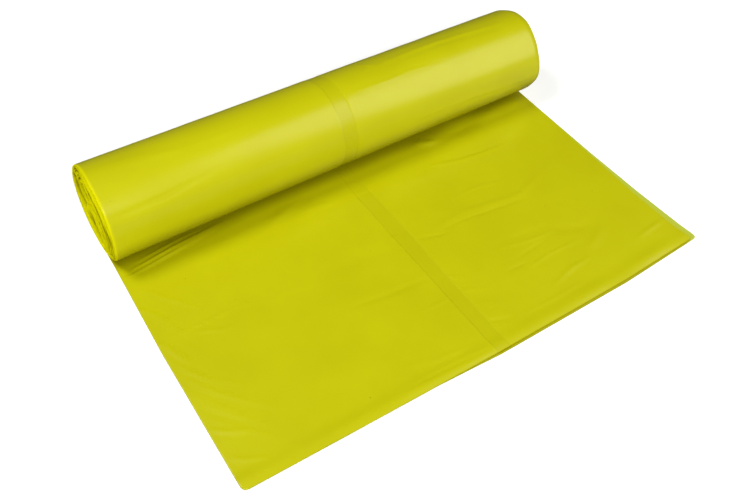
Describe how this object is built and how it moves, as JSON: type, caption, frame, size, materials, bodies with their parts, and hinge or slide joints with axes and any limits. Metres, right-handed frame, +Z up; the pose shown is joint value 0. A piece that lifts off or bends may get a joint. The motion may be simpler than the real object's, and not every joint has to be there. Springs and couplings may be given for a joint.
{
  "type": "roll of recycling sacks",
  "caption": "Coreless roll of yellow polyethylene recycling sacks lying on its side, with the first side-gusseted sack partly unrolled flat in front of it.",
  "frame": {"origin": "on the resting surface, under the middle of the roll", "axes": "+X along the roll, -Y the way the sack unrolls, +Z up"},
  "size_m": [0.366, 0.2427, 0.0667],
  "materials": {
    "polyethylene_film": "glossy blown film, slightly hazy"
  },
  "bodies": {
    "root": {"sack_roll": "polyethylene_film"}
  },
  "joints": []
}
